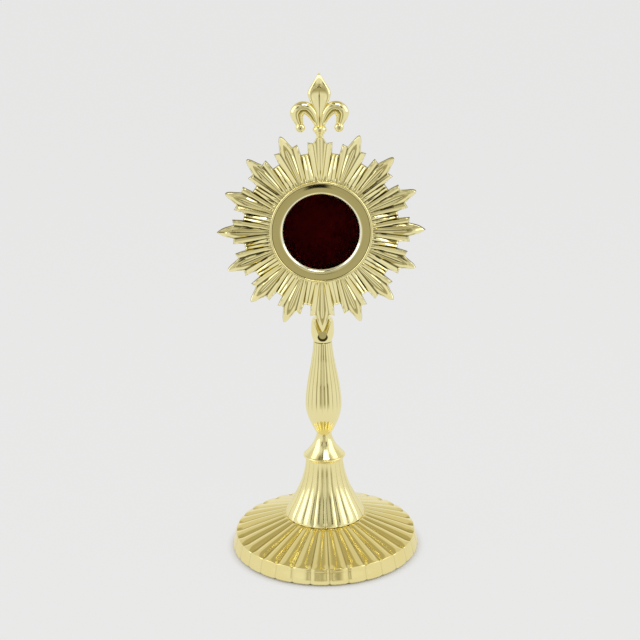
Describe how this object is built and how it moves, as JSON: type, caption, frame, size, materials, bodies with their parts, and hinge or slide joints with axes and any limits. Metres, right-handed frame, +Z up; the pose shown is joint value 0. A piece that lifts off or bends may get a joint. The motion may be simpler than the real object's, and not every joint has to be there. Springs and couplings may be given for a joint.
{
  "type": "reliquary monstrance",
  "caption": "Gilt brass standing monstrance: sunburst with a round glazed relic case and hinged rear door, fleur-de-lis finial, fluted stem and gadrooned round foot.",
  "frame": {"origin": "on the stem's axis, in the plane that the foot's felt rests on", "axes": "+Z up along the stem, the window and the front of the sunburst face -Y, +X to the right as seen from the front"},
  "size_m": [0.0912, 0.0874, 0.2204],
  "materials": {
    "gilt_brass": "polished and lacquered gilt",
    "inner_brass": "plain turned or bent brass",
    "steel": "plain",
    "window_glass": "clear, polished",
    "velvet": "short dark red pile",
    "felt": "matte black felt"
  },
  "bodies": {
    "monstrance": {"base_foot": "gilt_brass", "foot_felt": "felt", "stem_bell": "gilt_brass", "stem_collar": "gilt_brass", "stem_knop": "gilt_brass", "calyx": "gilt_brass", "tie_rod": "steel", "rod_washer": "steel", "rod_nut": "steel", "sunburst": "gilt_brass", "fleur_finial": "gilt_brass", "bezel_ring": "gilt_brass", "window_glass": "window_glass", "glass_retainer": "inner_brass", "relic_case": "gilt_brass", "hinge_pin": "steel", "case_screw_1": "steel", "case_screw_2": "steel", "case_screw_3": "steel", "case_screw_4": "steel", "calyx_screw_1": "steel", "calyx_screw_2": "steel", "finial_screw": "steel"},
    "door": {"rear_door": "gilt_brass", "velvet_backing": "velvet", "door_catch": "inner_brass"}
  },
  "joints": [
    {"name": "door_hinge", "type": "hinge", "parent": "monstrance", "child": "door", "pos_m": [0.0262, 0.0086, 0.152], "axis": [0, 0, -1], "range_deg": [0, 110]}
  ]
}
